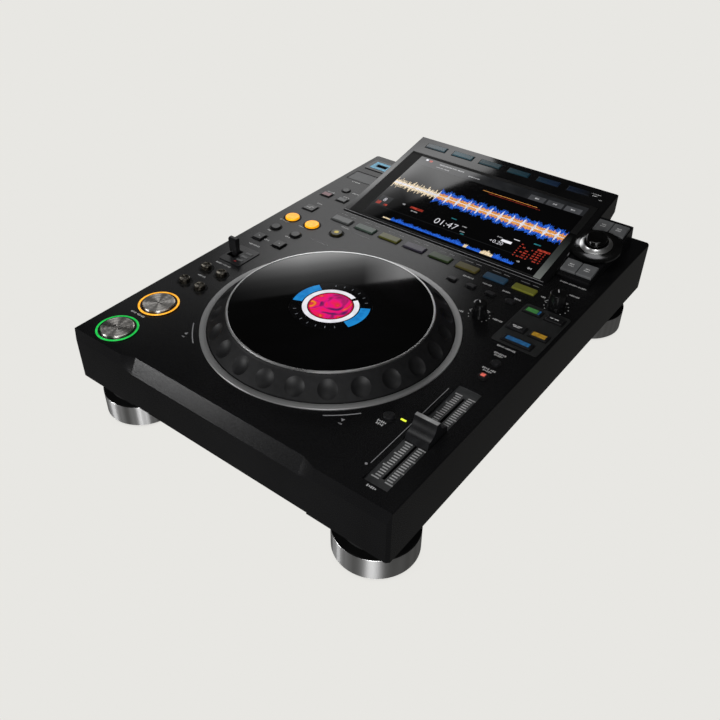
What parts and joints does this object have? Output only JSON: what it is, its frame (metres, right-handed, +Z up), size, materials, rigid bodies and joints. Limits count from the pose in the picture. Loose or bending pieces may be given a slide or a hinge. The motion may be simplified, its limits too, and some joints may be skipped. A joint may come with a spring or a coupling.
{
  "type": "tabletop media player",
  "caption": "Tabletop music player for mixing, with a large jog dial, sloped screen, lit keys, tempo fader and round feet.",
  "frame": {"origin": "on the table, under the middle of the player's outer box", "axes": "+X to the player's right, +Y to its rear, +Z up"},
  "size_m": [0.329, 0.453, 0.1177],
  "materials": {
    "case_black": "fine moulded grain, charcoal black",
    "key_black": "smooth moulded black",
    "dial_rubber": "soft-touch black with round dishes",
    "plate_gloss": "polished black acrylic",
    "brushed_silver": "turned and brushed",
    "bright_chrome": "polished plating",
    "foot_silver": "upright brushed grain",
    "foot_rubber": "plain black",
    "lamp_amber": "lit amber",
    "lamp_ring": "lit ring",
    "lamp_olive": "dim lit key",
    "screen_glass": "cover glass with a picture behind it",
    "sheet_black": "black powder coat",
    "board_green": "printed board",
    "supply_steel": "folded sheet",
    "socket_metal": "nickel"
  },
  "bodies": {
    "player": {"button_rings": "lamp_ring", "card_reader": "key_black", "chassis_screws": "supply_steel", "control_board": "board_green", "display_glass": "screen_glass", "display_housing": "case_black", "fader_plate": "sheet_black", "fader_track": "key_black", "foot_cups": "foot_silver", "foot_pads": "foot_rubber", "jog_base": "sheet_black", "jog_trim_ring": "brushed_silver", "jog_window": "screen_glass", "lever_plate": "key_black", "lower_chassis": "sheet_black", "main_board": "board_green", "mains_inlet": "key_black", "power_supply": "supply_steel", "rear_panel": "sheet_black", "rear_sockets": "socket_metal", "screen_module": "supply_steel", "selector_housing": "case_black", "sync_plate": "case_black", "upper_case": "case_black", "usb_socket": "key_black"},
    "play_button": {"play_button": "brushed_silver"},
    "cue_button": {"cue_button": "brushed_silver"},
    "search_keys": {"search_keys": "bright_chrome"},
    "track_keys": {"track_keys": "bright_chrome"},
    "beat_keys": {"beat_keys": "key_black"},
    "loop_size_keys": {"loop_size_keys": "key_black"},
    "loop_in_key": {"loop_in_key": "lamp_amber"},
    "loop_out_key": {"loop_out_key": "lamp_amber"},
    "loop_exit_key": {"loop_exit_key": "lamp_olive"},
    "media_keys": {"media_keys": "key_black"},
    "mode_keys": {"mode_keys": "key_black"},
    "sync_keys": {"sync_keys": "lamp_olive"},
    "tempo_keys": {"tempo_keys": "key_black"},
    "hot_cue_key_a": {"hot_cue_key_a": "lamp_olive"},
    "hot_cue_key_b": {"hot_cue_key_b": "lamp_olive"},
    "hot_cue_key_c": {"hot_cue_key_c": "lamp_olive"},
    "hot_cue_key_d": {"hot_cue_key_d": "lamp_olive"},
    "hot_cue_key_e": {"hot_cue_key_e": "lamp_olive"},
    "hot_cue_key_f": {"hot_cue_key_f": "lamp_olive"},
    "hot_cue_key_g": {"hot_cue_key_g": "lamp_olive"},
    "hot_cue_key_h": {"hot_cue_key_h": "lamp_olive"},
    "menu_keys": {"menu_keys": "key_black"},
    "selector_keys": {"selector_keys": "key_black"},
    "selector_knob": {"selector_knob": "bright_chrome"},
    "selector_cap": {"selector_cap": "plate_gloss"},
    "vinyl_knob": {"vinyl_knob": "key_black"},
    "brake_knob": {"brake_knob": "key_black"},
    "direction_lever": {"direction_lever": "key_black"},
    "tempo_fader": {"tempo_fader": "key_black", "fader_strip": "bright_chrome"},
    "jog_dial": {"jog_dial": "dial_rubber", "jog_plate": "plate_gloss", "jog_rim": "bright_chrome"},
    "card_door": {"card_door": "key_black"},
    "power_switch": {"power_switch": "key_black"}
  },
  "joints": [
    {"name": "play_button_press", "type": "slide", "parent": "player", "child": "play_button", "axis": [0, 0, -1], "range_m": [0, 0.001], "stiffness_N_per_m": 400, "springref_m": -0.001},
    {"name": "cue_button_press", "type": "slide", "parent": "player", "child": "cue_button", "axis": [0, 0, -1], "range_m": [0, 0.001], "stiffness_N_per_m": 400, "springref_m": -0.001},
    {"name": "search_keys_press", "type": "slide", "parent": "player", "child": "search_keys", "axis": [0, 0, -1], "range_m": [0, 0.001], "stiffness_N_per_m": 400, "springref_m": -0.001},
    {"name": "track_keys_press", "type": "slide", "parent": "player", "child": "track_keys", "axis": [0, 0, -1], "range_m": [0, 0.001], "stiffness_N_per_m": 400, "springref_m": -0.001},
    {"name": "beat_keys_press", "type": "slide", "parent": "player", "child": "beat_keys", "axis": [0, 0, -1], "range_m": [0, 0.001], "stiffness_N_per_m": 400, "springref_m": -0.001},
    {"name": "loop_size_keys_press", "type": "slide", "parent": "player", "child": "loop_size_keys", "axis": [0, 0, -1], "range_m": [0, 0.001], "stiffness_N_per_m": 400, "springref_m": -0.001},
    {"name": "loop_in_key_press", "type": "slide", "parent": "player", "child": "loop_in_key", "axis": [0, 0, -1], "range_m": [0, 0.001], "stiffness_N_per_m": 400, "springref_m": -0.001},
    {"name": "loop_out_key_press", "type": "slide", "parent": "player", "child": "loop_out_key", "axis": [0, 0, -1], "range_m": [0, 0.001], "stiffness_N_per_m": 400, "springref_m": -0.001},
    {"name": "loop_exit_key_press", "type": "slide", "parent": "player", "child": "loop_exit_key", "axis": [0, 0, -1], "range_m": [0, 0.001], "stiffness_N_per_m": 400, "springref_m": -0.001},
    {"name": "media_keys_press", "type": "slide", "parent": "player", "child": "media_keys", "axis": [0, 0, -1], "range_m": [0, 0.001], "stiffness_N_per_m": 400, "springref_m": -0.001},
    {"name": "mode_keys_press", "type": "slide", "parent": "player", "child": "mode_keys", "axis": [0, 0, -1], "range_m": [0, 0.001], "stiffness_N_per_m": 400, "springref_m": -0.001},
    {"name": "sync_keys_press", "type": "slide", "parent": "player", "child": "sync_keys", "axis": [0, 0, -1], "range_m": [0, 0.001], "stiffness_N_per_m": 400, "springref_m": -0.001},
    {"name": "tempo_keys_press", "type": "slide", "parent": "player", "child": "tempo_keys", "axis": [0, 0, -1], "range_m": [0, 0.001], "stiffness_N_per_m": 400, "springref_m": -0.001},
    {"name": "hot_cue_key_a_press", "type": "slide", "parent": "player", "child": "hot_cue_key_a", "axis": [0, 0, -1], "range_m": [0, 0.001], "stiffness_N_per_m": 400, "springref_m": -0.001},
    {"name": "hot_cue_key_b_press", "type": "slide", "parent": "player", "child": "hot_cue_key_b", "axis": [0, 0, -1], "range_m": [0, 0.001], "stiffness_N_per_m": 400, "springref_m": -0.001},
    {"name": "hot_cue_key_c_press", "type": "slide", "parent": "player", "child": "hot_cue_key_c", "axis": [0, 0, -1], "range_m": [0, 0.001], "stiffness_N_per_m": 400, "springref_m": -0.001},
    {"name": "hot_cue_key_d_press", "type": "slide", "parent": "player", "child": "hot_cue_key_d", "axis": [0, 0, -1], "range_m": [0, 0.001], "stiffness_N_per_m": 400, "springref_m": -0.001},
    {"name": "hot_cue_key_e_press", "type": "slide", "parent": "player", "child": "hot_cue_key_e", "axis": [0, 0, -1], "range_m": [0, 0.001], "stiffness_N_per_m": 400, "springref_m": -0.001},
    {"name": "hot_cue_key_f_press", "type": "slide", "parent": "player", "child": "hot_cue_key_f", "axis": [0, 0, -1], "range_m": [0, 0.001], "stiffness_N_per_m": 400, "springref_m": -0.001},
    {"name": "hot_cue_key_g_press", "type": "slide", "parent": "player", "child": "hot_cue_key_g", "axis": [0, 0, -1], "range_m": [0, 0.001], "stiffness_N_per_m": 400, "springref_m": -0.001},
    {"name": "hot_cue_key_h_press", "type": "slide", "parent": "player", "child": "hot_cue_key_h", "axis": [0, 0, -1], "range_m": [0, 0.001], "stiffness_N_per_m": 400, "springref_m": -0.001},
    {"name": "menu_keys_press", "type": "slide", "parent": "player", "child": "menu_keys", "axis": [0, 0.2003, -0.9797], "range_m": [0, 0.0008], "stiffness_N_per_m": 400, "springref_m": -0.001},
    {"name": "selector_keys_press", "type": "slide", "parent": "player", "child": "selector_keys", "axis": [0, 0.2003, -0.9797], "range_m": [0, 0.0008], "stiffness_N_per_m": 400, "springref_m": -0.001},
    {"name": "selector_turn", "type": "hinge", "parent": "player", "child": "selector_knob", "pos_m": [0.1342, 0.14396, 0.10112], "axis": [0, -0.2003, 0.9797], "continuous": true},
    {"name": "selector_push", "type": "slide", "parent": "selector_knob", "child": "selector_cap", "axis": [0, 0.2003, -0.9797], "range_m": [0, 0.0008], "stiffness_N_per_m": 400, "springref_m": -0.001},
    {"name": "vinyl_knob_turn", "type": "hinge", "parent": "player", "child": "vinyl_knob", "pos_m": [0.0953, 0.001, 0.09], "axis": [0, 0, 1], "range_deg": [-150, 150]},
    {"name": "brake_knob_turn", "type": "hinge", "parent": "player", "child": "brake_knob", "pos_m": [0.1419, 0.0525, 0.09], "axis": [0, 0, 1], "range_deg": [-150, 150]},
    {"name": "direction_lever_tilt", "type": "hinge", "parent": "player", "child": "direction_lever", "pos_m": [-0.141, -0.0546, 0.077], "axis": [1, 0, 0], "range_deg": [-16, 16]},
    {"name": "tempo_fader_slide", "type": "slide", "parent": "player", "child": "tempo_fader", "axis": [0, 1, 0], "range_m": [-0.048, 0.048]},
    {"name": "jog_dial_turn", "type": "hinge", "parent": "player", "child": "jog_dial", "pos_m": [0.0015, -0.085, 0.09], "axis": [0, 0, 1], "continuous": true},
    {"name": "card_door_swing", "type": "hinge", "parent": "player", "child": "card_door", "pos_m": [-0.1415, 0.1597, 0.0862], "axis": [-1, 0, 0], "range_deg": [0, 80]},
    {"name": "power_switch_rock", "type": "hinge", "parent": "player", "child": "power_switch", "pos_m": [0.08, 0.2037, 0.062], "axis": [1, 0, 0], "range_deg": [-6, 6]}
  ]
}
